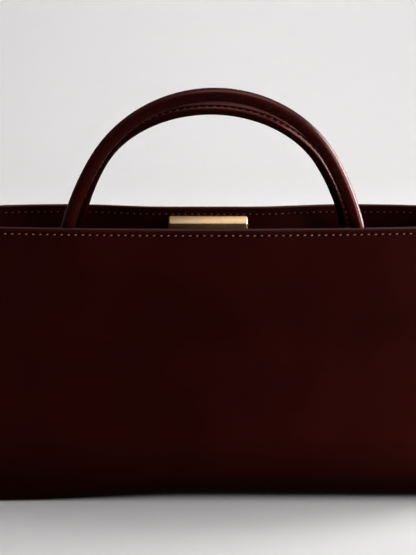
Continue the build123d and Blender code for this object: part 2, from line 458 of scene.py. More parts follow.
@dataclass(frozen=True)
class Leather(Finish):
    """Dyed and polished calf leather, with painted shade towards the foot where foot is set."""

    colour: Colour = (0.035, 0.0034, 0.0024)
    deep: Colour = (0.021, 0.0020, 0.0014)
    roughness: float = 0.42
    specular: float = 0.40
    tint: Colour = (1.0, 0.16, 0.12)
    coat: float = 0.0
    coat_roughness: float = 0.12
    pore_scale: float = 1500.0
    pore_depth: float = 0.00004
    # Height below which painted shade blends the colour towards near black; 0 leaves it out.
    foot: float = 0.0

    def paint(self, s: Shader, shader: Node, where: Socket, effects: Effects) -> None:
        """Sets the shader's inputs."""
        marks = s.group(effects.handling, Vector=where)
        grain = s.group(effects.hide, Vector=where, Scale=self.pore_scale)
        dye_and_shade = s.blend(marks.outputs["Dye"], (*self.deep, 1), (*self.colour, 1))
        # Painted shade: under the foot height the colour is blended towards near black, most at
        # the bottom of the bag.
        if self.foot:
            height = s.add("ShaderNodeSeparateXYZ", Vector=where).outputs["Z"]
            painted_foot_shade = s.span(height, self.foot * 0.25, self.foot, 0.75, 0.0)
            dye_and_shade = s.blend(painted_foot_shade, dye_and_shade, (0.006, 0.0012, 0.0008, 1))
        s.put(shader.inputs["Base Color"], dye_and_shade)
        rough = s.span(marks.outputs["Marks"], 0, 1, self.roughness, self.roughness + 0.1)
        s.put(shader.inputs["Roughness"], rough)
        shader.inputs["Specular IOR Level"].default_value = self.specular
        shader.inputs["Specular Tint"].default_value = (*self.tint, 1)
        shader.inputs["Coat Weight"].default_value = self.coat
        shader.inputs["Coat Roughness"].default_value = self.coat_roughness
        s.put(shader.inputs["Normal"], s.bump(grain.outputs[0], self.pore_depth))


@dataclass(frozen=True)
class Suede(Finish):
    """Napped lining."""

    colour: Colour
    deep: Colour

    def paint(self, s: Shader, shader: Node, where: Socket, effects: Effects) -> None:
        """Sets the shader's inputs."""
        marks = s.group(effects.handling, Vector=where)
        nap = s.noise(where, 1800.0, 4.0, 0.7)
        half_nap = s.math("MULTIPLY", nap, 0.5)
        half_dye = s.math("MULTIPLY", marks.outputs["Dye"], 0.5)
        brushed = s.math("ADD", half_nap, half_dye)
        s.put(shader.inputs["Base Color"], s.blend(brushed, (*self.deep, 1), (*self.colour, 1)))
        shader.inputs["Roughness"].default_value = 0.92
        shader.inputs["Specular IOR Level"].default_value = 0.15
        shader.inputs["Sheen Weight"].default_value = 0.15
        shader.inputs["Sheen Roughness"].default_value = 0.5
        shader.inputs["Sheen Tint"].default_value = (*self.colour, 1)
        s.put(shader.inputs["Normal"], s.bump(nap, 0.00015))


@dataclass(frozen=True)
class Fibre(Finish):
    """Pressed board, or twisted cord and thread, by its streak scales."""

    colour: Colour
    deep: Colour
    streak: Triple
    roughness: float = 0.75
    depth: float = 0.0001

    def paint(self, s: Shader, shader: Node, where: Socket, effects: Effects) -> None:
        """Sets the shader's inputs."""
        strands = s.noise(s.stretched(where, self.streak), 1.0, 4.0, 0.6)
        share = s.span(strands, 0.3, 0.7, 0.0, 1.0)
        s.put(shader.inputs["Base Color"], s.blend(share, (*self.deep, 1), (*self.colour, 1)))
        shader.inputs["Roughness"].default_value = self.roughness
        s.put(shader.inputs["Normal"], s.bump(strands, self.depth))


@dataclass(frozen=True)
class Metal(Finish):
    """Brushed or polished metal."""

    colour: Colour
    tarnish: Colour
    roughness: float
    brush: Triple = (25.0, 2600.0, 2600.0)
    depth: float = 0.000012

    def paint(self, s: Shader, shader: Node, where: Socket, effects: Effects) -> None:
        """Sets the shader's inputs."""
        lines = s.noise(s.stretched(where, self.brush), 1.0, 3.0, 0.6)
        marks = s.group(effects.handling, Vector=where)
        dull = s.math("MULTIPLY", marks.outputs["Marks"], 0.55)
        s.put(shader.inputs["Base Color"], s.blend(dull, (*self.colour, 1), (*self.tarnish, 1)))
        shader.inputs["Metallic"].default_value = 1.0
        s.put(
            shader.inputs["Roughness"],
            s.span(lines, 0.3, 0.7, self.roughness - 0.05, self.roughness + 0.09),
        )
        s.put(shader.inputs["Normal"], s.bump(lines, self.depth))


class Finishes:
    """Every material of the bag."""

    def __init__(self) -> None:
        effects = Effects()
        # The shell's colour carries painted shade over its lowest 42 mm.
        self.shell = Leather("shell_leather", foot=42 * MM).make(effects)
        self.facing = Leather(
            "facing_leather",
            colour=(0.030, 0.0034, 0.0025),
            deep=(0.018, 0.0022, 0.0016),
            roughness=0.46,
            specular=0.28,
        ).make(effects)
        self.handle = Leather(
            "handle_leather",
            colour=(0.036, 0.0034, 0.0026),
            deep=(0.020, 0.0019, 0.0014),
            roughness=0.24,
            specular=0.55,
            tint=(1.0, 0.30, 0.26),
            coat=0.12,
            coat_roughness=0.12,
            pore_depth=0.000025,
        ).make(effects)
        self.edge = Leather(
            "edge_paint",
            colour=(0.042, 0.0062, 0.0050),
            deep=(0.026, 0.0038, 0.0032),
            roughness=0.30,
            specular=0.50,
            tint=(1.0, 0.5, 0.45),
            coat=0.10,
            pore_scale=700.0,
            pore_depth=0.00002,
        ).make(effects)
        # Painted shade: near-black ovals laid on the leather between stitches stand in for the
        # shade inside each needle hole.
        self.hole = Leather(
            "needle_hole",
            colour=(0.004, 0.001, 0.001),
            deep=(0.002, 0.0006, 0.0006),
            roughness=0.9,
            specular=0.05,
        ).make(effects)
        self.lining = Suede("lining_cloth", (0.030, 0.0075, 0.0062), (0.018, 0.0045, 0.0038)).make(
            effects
        )
        strands = (2600.0, 5200.0, 5200.0)
        self.thread = Fibre(
            "linen_thread",
            (0.50, 0.23, 0.205),
            (0.28, 0.11, 0.10),
            strands,
            roughness=0.55,
        ).make(effects)
        # Painted shade: a darker copy of the linen thread, for the rows inside the mouth and along
        # the handle seams that lie in shade.
        self.dark_thread = Fibre(
            "dark_linen_thread",
            (0.24, 0.065, 0.052),
            (0.12, 0.030, 0.025),
            strands,
            roughness=0.55,
        ).make(effects)
        self.board = Fibre(
            "fibre_board", (0.33, 0.26, 0.19), (0.22, 0.17, 0.12), (260.0, 900.0, 900.0)
        ).make(effects)
        self.cord = Fibre(
            "cotton_cord", (0.62, 0.56, 0.44), (0.40, 0.34, 0.25), (700.0, 700.0, 260.0)
        ).make(effects)
        self.brass = Metal("brushed_brass", (0.82, 0.55, 0.30), (0.50, 0.29, 0.13), 0.31).make(
            effects
        )
        self.rivet = Metal(
            "turned_brass", (0.84, 0.63, 0.37), (0.50, 0.33, 0.16), 0.24, (700.0, 700.0, 700.0)
        ).make(effects)
        self.steel = Metal(
            "zinc_steel", (0.62, 0.62, 0.60), (0.34, 0.33, 0.31), 0.34
        ).make(effects)
        self.magnet = Metal(
            "nickel_magnet", (0.50, 0.48, 0.45), (0.26, 0.25, 0.23), 0.22, (300.0, 300.0, 300.0)
        ).make(effects)


# ---- Form of the bag ----------------------------------------------------------------------


@dataclass(frozen=True)
class WallForm:
    """The smooth shape that every layer of the two long walls and the gussets follows."""

    half_width: float
    half_depth: float
    height: float
    root_x: float
    band: float = 62 * MM
    shoulder: float = 20 * MM
    front_ease: float = 3 * MM
    front_pinch: float = 14 * MM
    rear_ease: float = 5 * MM
    rear_pinch: float = 12 * MM
    rear_dip: float = 12 * MM
    clasp_half: float = 27.5 * MM
    fold: float = 18 * MM
    belly: float = 1.4 * MM
    ripple: float = 0.28 * MM
    seam: float = 38 * MM
    tighter_left: float = 16 * MM
    tighter_right: float = 2 * MM

    def rim(self, side: Side, x: float) -> float:
        """Outer face of a wall at the mouth."""
        if side is Side.FRONT:
            return -(self.half_depth - self.front_ease) + self.front_pinch * (
                x / self.half_width
            ) ** 2
        high = self.half_depth - self.rear_ease
        past_clasp, past_root = abs(x) - self.clasp_half, abs(x) - self.root_x
        if past_clasp < 0:
            return high - self.rear_dip
        if past_root < 0:
            turn = math.pi / 2 * past_clasp / (past_clasp - past_root)
            return high - self.rear_dip * math.cos(turn) ** 2
        return high - self.rear_pinch * (past_root / (self.half_width - self.root_x)) ** 2

    def level(self, z: float) -> float:
        """The share of the way from the roll up to the facing."""
        share = (z - self.shoulder) / (self.height - self.band - self.shoulder)
        return min(1.0, max(0.0, share))

    def rise(self, z: float) -> float:
        """How far, from 0 to 1, the section has turned from the foot's shape to the rim's."""
        level = self.level(z)
        return level * (2 - level)

    def roll(self, x: float) -> float:
        """Radius of the roll at the foot: it tightens towards the ends, more at the left."""
        share = abs(x) / self.half_width
        tight = self.tighter_left if x < 0 else self.tighter_right
        return self.shoulder - tight * smooth(share * 1.25)

    def face(self, side: Side, x: float, z: float, inset: float) -> float:
        """Y of a wall above its roll, at a depth into it.

        Args:
            side: Which wall.
            x: Place across the bag.
            z: Height.
            inset: Depth from the outer face.

        Returns:
            The Y coordinate.
        """
        sign = side.value
        foot = sign * self.half_depth
        y = foot + (self.rim(side, x) - foot) * self.rise(z)
        loose = math.sin(math.pi * self.level(z))
        swell = loose * (1 - (x / self.half_width) ** 2)
        wave = loose * math.sin(41 * x + 1.1 + 9 * z) * math.sin(37 * z + 0.6)
        return y + sign * (self.belly * swell + self.ripple * wave) - sign * inset

    def point(self, side: Side, x: float, along: float, inset: float, top: float) -> Vector:
        """A point on a wall's section, from the base seam up over the roll to a height.

        Args:
            side: Which wall.
            x: Place across the bag.
            along: 0 at the base seam and 1 at the top, with the roll between its two shares.
            inset: Depth from the outer face.
            top: Height reached at 1.

        Returns:
            The point.
        """
        sign, roll = side.value, self.roll(x)
        if along < ROLL_START:
            y = lerp(self.seam, self.half_depth - roll, along / ROLL_START)
            return Vector((x, sign * y, inset))
        if along < ROLL_END:
            turn = math.pi / 2 * (along - ROLL_START) / (ROLL_END - ROLL_START)
            y = self.half_depth - roll + (roll - inset) * math.sin(turn)
            return Vector((x, sign * y, roll - (roll - inset) * math.cos(turn)))
        z = lerp(roll, top, (along - ROLL_END) / (1 - ROLL_END))
        return Vector((x, self.face(side, x, z, inset), z))

    def spot(self, side: Side, x: float, z: float, facing: Facing, inset: float) -> Spot:
        """A place on a wall with its directions.

        Args:
            side: Which wall.
            x: Place across the bag.
            z: Height.
            facing: Which way the surface looks.
            inset: Depth from the outer face.

        Returns:
            The point, the direction across the bag and the surface's normal.
        """
        step = 0.5 * MM
        here = Vector((x, self.face(side, x, z, inset), z))
        beside = Vector((x + step, self.face(side, x + step, z, inset), z))
        above = Vector((x, self.face(side, x, z + step, inset), z + step))
        along = (beside - here).normalized()
        out = along.cross(above - here).normalized()
        wanted = side.value * facing.value
        if out.y * wanted < 0:
            out.negate()
        return here, along, out

    def gusset(self, y: float, z: float, inset: float) -> float:
        """Distance of a gusset from the middle of the bag."""
        reach = self.half_depth - self.front_ease - self.front_pinch
        fold = 0.0
        if abs(y) < reach:
            fold = self.fold * math.cos(math.pi * y / (2 * reach)) ** 2
        return self.half_width - fold * self.rise(z) - inset

    def inner_reach(self, side: Side, z: float, inset: float) -> float:
        """Y where a gusset meets a wall at a height."""
        x = self.half_width - 2 * MM
        roll = self.roll(x)
        if z >= roll:
            return self.face(side, x, z, inset)
        drop = min(roll - z, roll - inset)
        y = self.half_depth - roll + math.sqrt(max(0.0, (roll - inset) ** 2 - drop**2))
        return side.value * y


# ---- Stitching ----------------------------------------------------------------------------


@dataclass(frozen=True)
class Stitching:
    """A saddle-stitched row: short slanted threads with a flat near-black oval between each two,
    painted shade where a needle hole lies.
    """

    length: float = 1.8 * MM
    width: float = 0.85 * MM
    proud: float = 0.42 * MM
    slant: float = math.radians(12)
    lift: float = 0.04 * MM
    # Size and lift of the near-black oval of painted shade at each needle hole.
    hole: float = 1.25 * MM
    hole_narrowing: float = 0.34
    hole_proud: float = 0.09 * MM
    # Whether the row takes the darker copy of the thread, as painted shade.
    dark: bool = False

    def sew(self, name: str, spots: Sequence[Spot], finishes: Finishes) -> list[Object]:
        """Makes a row of stitches.

        Args:
            name: Name of the row.
            spots: Middle of each stitch with its two directions.
            finishes: The bag's materials.

        Returns:
            The threads and the ovals of painted shade at the needle hole between them.
        """
        threads, hole_shades = bmesh.new(), bmesh.new()
        for index, (centre, along, out) in enumerate(spots):
            across = out.cross(along).normalized()
            wobble = math.radians(2.5) * math.sin(index * 2.4)
            turned = Matrix.Rotation(self.slant + wobble, 3, out) @ along
            over = out.cross(turned)
            size = 1 + 0.05 * math.sin(index * 1.7)
            self._bead(
                threads,
                centre + out * self.lift,
                (turned * self.length / 2 * size, over * self.width / 2, out * self.proud),
            )
            ahead = spots[index + 1][0] if index + 1 < len(spots) else None
            if ahead is not None and (ahead - centre).length < 3 * self.length:
                middle = (centre + ahead) / 2
                # Painted shade: a flat near-black oval where the needle hole sits.
                self._bead(
                    hole_shades,
                    middle,
                    (
                        along * self.hole,
                        across * self.hole * self.hole_narrowing,
                        out * self.hole_proud,
                    ),
                )
        thread = finishes.dark_thread if self.dark else finishes.thread
        return [
            make_piece(threads, name, thread, 180),
            make_piece(hole_shades, f"{name}_holes", finishes.hole, 180),
        ]

    @staticmethod
    def _bead(bm: BMesh, centre: Vector, axes: Sequence[Vector]) -> None:
        """Adds one rounded bead with the given half axes."""
        place = Matrix.Identity(4)
        for column, axis in enumerate(axes):
            for row in range(3):
                place[row][column] = axis[row]
        place.translation = centre
        bmesh.ops.create_uvsphere(bm, u_segments=8, v_segments=5, radius=1.0, matrix=place)


# ---- Walls --------------------------------------------------------------------------------


@dataclass
class Wall:
    """One long wall: shell, stiffener, lining, facing, painted edges and stitches."""

    side: Side
    form: WallForm
    finishes: Finishes
    shell: float = 1.8 * MM
    facing: float = 1.6 * MM
    board: float = 0.8 * MM
    rim_half: float = 1.25 * MM
    end_half: float = 0.9 * MM
    top_trim: float = 0.9 * MM
    inner_trim: float = 1.7 * MM
    rim_stitch_drop: float = 4.0 * MM
    pitch: float = 4.5 * MM
    columns: int = 150

    def layer(
        self,
        name: str,
        depths: tuple[float, float],
        low: float,
        top: float,
        trim: float,
        finish: Material,
        rows: int = 56,
    ) -> Object:
        """One sheet of the wall, closed all round.

        Args:
            name: Name of the piece.
            depths: Its outer and inner face, as depths into the wall.
            low: Where it starts, from 0 at the base seam to 1 at its top.
            top: Height of its top.
            trim: How far its ends stop short of the bag's.
            finish: Its material.
            rows: Faces up each side.

        Returns:
            The piece.
        """
        reach = self.form.half_width - trim

        def place(u: float, v: float) -> Vector:
            outer, share = round_sheet(v, rows)
            depth = depths[0] if outer else depths[1]
            x = lerp(-reach, reach, u)
            return self.form.point(self.side, x, lerp(low, 1, share), depth, top)

        return make_piece(lofted(self.columns, 2 * rows + 2, place), name, finish)

    def rim_edge(self) -> Object:
        """The rounded, painted edge along the mouth."""
        reach = self.form.half_width - 0.2 * MM
        depth = self.shell + self.facing

        def seat(u: float, across: float, up: float) -> Vector:
            z = self.form.height - self.rim_half + up
            y = self.form.face(self.side, lerp(-reach, reach, u), z, depth / 2 - across)
            return Vector((lerp(-reach, reach, u), y, z))

        return edge_strip(
            f"{self.side.label}_rim_edge",
            (self.columns, 20),
            (depth / 2 + 0.12 * MM, self.rim_half),
            seat,
            self.finishes.edge,
        )

    def end_edge(self, end: int) -> Object:
        """The painted edge up one end of the wall."""
        top = self.form.height - 0.8 * MM

        def seat(u: float, across: float, out: float) -> Vector:
            x = end * (self.form.half_width - self.end_half + out)
            return self.form.point(self.side, x, u, self.shell / 2 - across, top)

        return edge_strip(
            f"{self.side.label}_{END_WORDS[end]}_edge",
            (110, 16),
            (self.shell / 2 + 0.1 * MM, self.end_half),
            seat,
            self.finishes.edge,
        )

    def row(self, facing: Facing, drop: float, reach: float) -> list[Spot]:
        """Spots of a level row of stitches below the rim."""
        inset = 0.0 if facing is Facing.OUTSIDE else self.shell + self.facing
        count = int(2 * reach / self.pitch)
        z = self.form.height - drop
        return [
            self.form.spot(self.side, (i - count / 2) * self.pitch, z, facing, inset)
            for i in range(count + 1)
        ]

    def end_row(self, end: int) -> list[Spot]:
        """Spots of the row that holds a gusset, up one end of the wall."""
        x = end * (self.form.half_width - 4.2 * MM)
        spots = []
        z = self.form.shoulder + 2 * MM
        while z < self.form.height - self.rim_stitch_drop - 3 * MM:
            here, _, out = self.form.spot(self.side, x, z, Facing.OUTSIDE, 0.0)
            spots.append((here, Vector((0, 0, 1)), out))
            z += self.pitch
        return spots

    def build(self) -> list[Object]:
        """Makes every piece of the wall and seats it on the bag.

        Returns:
            The pieces.
        """
        word, form, f = self.side.label, self.form, self.finishes
        inner = self.shell + self.facing
        band_low = form.height - form.band
        panel = self.layer(
            f"{word}_panel_leather",
            (0, self.shell),
            0,
            form.height - self.top_trim,
            0.8 * MM,
            f.shell,
        )
        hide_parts(f"{word}_panel")
        facing = self.band(f"{word}_facing_leather", (self.shell, inner), band_low)
        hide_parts(f"{word}_facing")
        stiffener = self.layer(
            f"{word}_stiffener_board",
            (self.shell, self.shell + self.board),
            0,
            band_low,
            self.inner_trim,
            f.board,
        )
        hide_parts(f"{word}_stiffener")
        lining = self.layer(
            f"{word}_lining_cloth",
            (self.shell + self.board, inner),
            0,
            band_low,
            self.inner_trim,
            f.lining,
        )
        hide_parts(f"{word}_lining")
        pieces = [panel, facing, stiffener, lining, self.rim_edge()]
        pieces += [self.end_edge(-1), self.end_edge(1)]
        drop = self.rim_stitch_drop
        inner_drop = drop + (1.2 * MM if self.side is Side.REAR else 0)
        reach = form.half_width - 5 * MM
        rows = {
            "rim_stitches": self.row(Facing.OUTSIDE, drop, reach),
            "rim_inner_stitches": self.row(Facing.INSIDE, inner_drop, reach),
            "facing_hem_stitches": self.row(Facing.INSIDE, form.band - 3.5 * MM, reach),
            "left_gusset_stitches": self.end_row(-1),
            "right_gusset_stitches": self.end_row(1),
        }
        for name, spots in rows.items():
            # Rows inside the mouth take the darker thread as painted shade.
            stitching = Stitching(dark="inner" in name or "hem" in name)
            pieces += stitching.sew(f"{word}_{name}", spots, f)
        for piece in pieces:
            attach(piece, "bag_body")
        return pieces

    def band(self, name: str, depths: tuple[float, float], low: float) -> Object:
        """The facing: a sheet between two heights with a rounded lower hem.

        Args:
            name: Name of the piece.
            depths: Its outer and inner face, as depths into the wall.
            low: Height of its hem.

        Returns:
            The piece.
        """
        reach = self.form.half_width - self.inner_trim
        high = self.form.height - self.top_trim
        rows = 26

        def place(u: float, v: float) -> Vector:
            outer, share = round_sheet(v, rows)
            x = lerp(-reach, reach, u)
            z = lerp(low, high, share)
            soften = 0.35 * MM * (1 - min(1.0, share * rows))
            depth = depths[0] if outer else depths[1] - soften
            return Vector((x, self.form.face(self.side, x, z, depth), z))

        return make_piece(lofted(self.columns, 2 * rows + 2, place), name, self.finishes.facing)


@dataclass
class Gusset:
    """One end of the bag: leather that folds in at the mouth, its lining and its top edge."""

    end: int
    form: WallForm
    finishes: Finishes
    leather: float = 1.6 * MM
    cloth: float = 0.8 * MM
    turn: float = 2.6 * MM
    top_half: float = 1.1 * MM

    @property
    def word(self) -> str:
        """Which end, in words."""
        return END_WORDS[self.end]

    def sheet(
        self,
        name: str,
        depths: tuple[float, float],
        wall: float,
        low: float,
        top: float,
        turn: float,
        finish: Material,
    ) -> Object:
        """One sheet of the gusset, closed all round.

        Args:
            name: Name of the piece.
            depths: Its outer and inner face, as depths into the gusset.
            wall: Depth into the long walls at which it meets them.
            low: Height of its foot.
            top: Height of its top.
            turn: Radius of the turn where it meets the walls.
            finish: Its material.

        Returns:
            The piece.
        """
        rows = 44

        def place(u: float, v: float) -> Vector:
            outer, share = round_sheet(v, rows)
            share = 0.5 - 0.5 * math.cos(math.pi * share) if turn else share
            z = lerp(low, top, u)
            start = self.form.inner_reach(Side.FRONT, z, wall)
            stop = self.form.inner_reach(Side.REAR, z, wall)
            y = lerp(start, stop, share)
            gap = min(y - start, stop - y)
            pull = 0.0
            if gap < turn:
                pull = turn - math.sqrt(max(0.0, turn**2 - (turn - gap) ** 2))
            x = self.form.gusset(y, z, depths[0] if outer else depths[1])
            return Vector((self.end * (x - pull), y, z))

        return make_piece(lofted(96, 2 * rows + 2, place), name, finish, 60)

    def top_edge(self) -> Object:
        """The painted edge along the gusset's top."""
        top = self.form.height - 0.6 * MM
        start = self.form.inner_reach(Side.FRONT, top, 3.2 * MM)
        stop = self.form.inner_reach(Side.REAR, top, 3.2 * MM)
        depth = self.leather + self.cloth

        def seat(u: float, across: float, up: float) -> Vector:
            y = lerp(start, stop, u)
            x = self.form.gusset(y, top, depth / 2 - across)
            return Vector((self.end * x, y, top - self.top_half + up))

        return edge_strip(
            f"{self.word}_gusset_top_edge",
            (50, 16),
            (depth / 2 + 0.1 * MM, self.top_half),
            seat,
            self.finishes.edge,
        )

    def build(self) -> list[Object]:
        """Makes every piece of the gusset and seats it on the bag.

        Returns:
            The pieces.
        """
        f, form = self.finishes, self.form
        top = form.height - 1.6 * MM
        leather = self.sheet(
            f"{self.word}_gusset_leather",
            (0.6 * MM, self.leather),
            1.8 * MM,
            1.9 * MM,
            top,
            self.turn,
            f.shell,
        )
        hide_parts(f"{self.word}_gusset")
        cloth = self.sheet(
            f"{self.word}_gusset_cloth",
            (self.leather, self.leather + self.cloth),
            3.4 * MM,
            4.0 * MM,
            top,
            0.0,
            f.lining,
        )
        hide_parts(f"{self.word}_gusset_lining")
        pieces = [leather, cloth, self.top_edge()]
        for piece in pieces:
            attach(piece, "bag_body")
        return pieces


@dataclass
class Base:
    """The underside: outer leather with its seams, the board and its lining."""

    form: WallForm
    finishes: Finishes
    pitch: float = 4.5 * MM
    seam: float = 34 * MM

    def build(self) -> list[Object]:
        """Makes the base and dresses the board.

        Returns:
            The pieces.
        """
        f = self.finishes
        pieces = []
        for node, name, finish, rounding in (
            ("base_panel", "base_panel_leather", f.shell, 0.5 * MM),
            ("base_lining", "base_lining_cloth", f.lining, 0.3 * MM),
        ):
            bm = block(*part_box(node))
            bevel(bm, bm.edges[:], rounding, 3)
            piece = make_piece(bm, name, finish)
            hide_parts(node)
            pieces.append(piece)
        count = int(2 * (self.form.half_width - 6 * MM) / self.pitch)
        for side in Side:
            spots = [
                (
                    Vector(((i - count / 2) * self.pitch, side.value * self.seam, 0.25 * MM)),
                    Vector((1, 0, 0)),
                    Vector((0, 0, -1)),
                )
                for i in range(count + 1)
            ]
            pieces += Stitching(proud=0.2 * MM).sew(f"{side.label}_base_stitches", spots, f)
        for piece in pieces:
            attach(piece, "bag_body")
        dress("base_board", f.board)
        return pieces


# ---- Handles ------------------------------------------------------------------------------


@dataclass
class Handle:
    """A rolled handle: leather tube with a stitched seam, sewn tabs, cord core."""

    side: Side
    form: WallForm
    finishes: Finishes
    pivot_y: float
    pivot_z: float
    lean: float
    skew: float
    sway: float
    spread: float
    tube: float
    settle: float
    core: float = 2.7 * MM
    crown_radius: float = 88.2 * MM
    crown_half: float = math.radians(58)
    leg_radius: float = 158 * MM
    root_tilt: float = math.radians(8)
    root_run: float = 3.1 * MM
    tab_drop: float = 33 * MM
    tab_start: float = 16 * MM
    tab_half: float = 10 * MM
    tab_thick: float = 2 * MM
    pitch: float = 4.7 * MM
    groove: float = 0.5 * MM
    ridge: float = 0.5 * MM
    lip: float = 0.18 * MM
    pucker: float = 0.05 * MM

    @property
    def half_length(self) -> float:
        """Length from the apex to a root."""
        leg = self.leg_radius * (math.pi / 2 - self.crown_half - self.root_tilt)
        return self.crown_radius * self.crown_half + leg + self.root_run

    def flat_point(self, distance: float) -> tuple[float, float]:
        """A point of the arch in its own plane.

        Args:
            distance: Length along the arch from the apex.

        Returns:
            Distance from the middle, and depth below the apex.
        """
        crown = self.crown_radius * self.crown_half
        angle = min(distance, crown) / self.crown_radius
        x = self.crown_radius * math.sin(angle)
        drop = self.crown_radius * (1 - math.cos(angle))
        if distance <= crown:
            return x, drop
        steep = math.pi / 2 - self.root_tilt
        turn = min((distance - crown) / self.leg_radius, steep - self.crown_half)
        angle = self.crown_half + turn
        x += self.leg_radius * (math.sin(angle) - math.sin(self.crown_half))
        drop += self.leg_radius * (math.cos(self.crown_half) - math.cos(angle))
        rest = max(0.0, distance - crown - self.leg_radius * (steep - self.crown_half))
        return x + rest * math.cos(steep), drop + rest * math.sin(steep)

    @property
    def up(self) -> Vector:
        """The direction up the handle's plane."""
        return Vector((0, -self.side.value * math.sin(self.lean), math.cos(self.lean)))

    @property
    def mouthward(self) -> Vector:
        """The normal of the handle's plane, towards the mouth."""
        return Vector((0, -self.side.value * math.cos(self.lean), -math.sin(self.lean)))

    def wall_normal(self, x: float) -> Vector:
        """The facing's normal, towards the mouth, at a root."""
        _, _, out = self.form.spot(
            self.side, x, self.pivot_z - 20 * MM, Facing.INSIDE, 3.4 * MM
        )
        return out

    def centre(self, travel: float) -> Vector:
        """A point of the centreline.

        Args:
            travel: Length from the apex, negative to the left. Past a root it runs down the tab.

        Returns:
            The point.
        """
        end = math.copysign(1.0, travel)
        _, rise = self.flat_point(self.half_length)
        if abs(travel) <= self.half_length:
            x, drop = self.flat_point(abs(travel))
            height = (rise - drop) * (1 - self.settle)
            level = height / rise
            x += self.spread * smooth(level * 5) * (1 - smooth((level - 0.3) / 0.6))
            lean_over = self.skew * smooth(level) + self.sway * smooth(height / (24 * MM))
            start = Vector((end * x + lean_over, self.pivot_y, self.pivot_z))
            return start + self.up * height
        past = abs(travel) - self.half_length
        root = self.flat_point(self.half_length)[0]
        first = Vector((end * root, self.pivot_y, self.pivot_z))
        face = self.form.face(self.side, end * root, self.pivot_z - 20 * MM, 3.4 * MM)
        tab_y = face - self.side.value * self.tab_thick / 2
        last = Vector((end * root, tab_y, self.pivot_z - self.tab_start))
        t = min(1.0, past / self.tab_start)
        leave = (
            Vector((end * math.sin(self.root_tilt), 0, 0)) - self.up * math.cos(self.root_tilt)
        ) * self.tab_start
        arrive = Vector((0, 0, -self.tab_start))
        h00, h10 = 2 * t**3 - 3 * t**2 + 1, t**3 - 2 * t**2 + t
        h01, h11 = -2 * t**3 + 3 * t**2, t**3 - t**2
        point = first * h00 + leave * h10 + last * h01 + arrive * h11
        return point + Vector((0, 0, -max(0.0, past - self.tab_start)))

    def axes(self, travel: float) -> tuple[Vector, Vector, Vector]:
        """Directions of the section.

        Args:
            travel: Place along the centreline, as in centre.

        Returns:
            Along the handle to the right, towards the mouth, and outwards from the arch.
        """
        step = 0.3 * MM
        along = (self.centre(travel + step) - self.centre(travel - step)).normalized()
        past = smooth((abs(travel) - self.half_length) / self.tab_start)
        end = math.copysign(1.0, travel)
        wall = self.wall_normal(end * self.form.root_x)
        mouth = self.mouthward.lerp(wall, past)
        mouth = (mouth - along * mouth.dot(along)).normalized()
        outward = along.cross(mouth) * -self.side.value
        return along, mouth, outward

    def seam_angle(self, travel: float) -> float:
        """Where the seam lies round the tube, from the mouth side towards the outside."""
        share = max(SEAM_STOPS[0][0], travel / self.half_length)
        for (a, first), (b, last) in zip(SEAM_STOPS, SEAM_STOPS[1:]):
            if share <= b:
                return math.radians(lerp(first, last, smooth((share - a) / (b - a))))
        return math.radians(SEAM_STOPS[-1][1])

    def skin(self, travel: float, round_angle: float) -> Vector:
        """A point on the leather.

        Args:
            travel: Place along the centreline.
            round_angle: Place round the tube from the seam, in radians.

        Returns:
            The point.
        """
        _, mouth, outward = self.axes(travel)
        past = abs(travel) - self.half_length
        flat = smooth((past + 3 * MM) / (self.tab_start + 1 * MM))
        width = lerp(self.tube, self.tab_half, flat)
        thick = lerp(self.tube, self.tab_thick / 2, flat)
        tip_length = self.tab_half * 0.8
        tip = past - (self.tab_drop - tip_length)
        if tip > 0:
            width *= math.sqrt(max(0.02, 1 - (tip / tip_length) ** 2))
        angle = self.seam_angle(travel) + round_angle
        deep, wide = superellipse(angle, thick, width, lerp(2, 5, flat))
        point = mouth * deep + outward * wide
        turn = math.remainder(round_angle, 2 * math.pi) * self.tube
        dent = -self.groove * mound(turn, 0, 0.62 * MM)
        bead = self.ridge * mound(turn, -2.0 * MM, 0.75 * MM)
        lip = self.lip * mound(turn, 1.5 * MM, 0.8 * MM)
        puckers = self.pucker * math.sin(2 * math.pi * travel / self.pitch)
        puckers *= mound(turn, 0, 3 * MM)
        swell = (dent + bead + lip + puckers) * (1 - flat)
        return self.centre(travel) + point + point.normalized() * swell

    def cover(self) -> Object:
        """The leather, from one tab's tip over the arch to the other's."""
        reach = self.half_length + self.tab_drop

        def place(u: float, v: float) -> Vector:
            travel = lerp(-reach, reach, u)
            bunched = v - 0.105 * math.sin(2 * math.pi * v)
            return self.skin(travel, 2 * math.pi * bunched)

        return make_piece(
            lofted(300, 60, place), f"{self.side.label}_handle_leather", self.finishes.handle, 75
        )

    def cord(self) -> Object:
        """The twisted cord inside the tube."""
        reach = self.half_length - 2 * MM

        def place(u: float, v: float) -> Vector:
            travel = lerp(-reach, reach, u)
            _, mouth, outward = self.axes(travel)
            angle = 2 * math.pi * v
            strand = math.cos(3 * angle + travel / (2.2 * MM))
            radius = self.core * (0.93 + 0.07 * strand)
            return self.centre(travel) + (
                mouth * math.cos(angle) + outward * math.sin(angle)
            ) * radius

        return make_piece(
            lofted(260, 24, place), f"{self.side.label}_handle_cord", self.finishes.cord, 80
        )

    def seam_spots(self) -> list[Spot]:
        """Middle of each stitch along the seam."""
        count = int(2 * (self.half_length - 9 * MM) / self.pitch)
        spots = []
        for i in range(count + 1):
            travel = (i - count / 2) * self.pitch
            along, _, _ = self.axes(travel)
            here = self.skin(travel, 0.0)
            out = (here - self.centre(travel)).normalized()
            spots.append((here + out * 0.12 * MM, along, out))
        return spots

    def tab_spots(self, end: int) -> list[Spot]:
        """Stitches down both long edges of a tab."""
        spots = []
        for edge in (-1, 1):
            for i in range(4):
                travel = end * (self.half_length + 13 * MM + i * 3.6 * MM)
                along, mouth, outward = self.axes(travel)
                here = self.centre(travel) + outward * edge * 7.6 * MM
                spots.append((here + mouth * self.tab_thick / 2, along, mouth))
        return spots

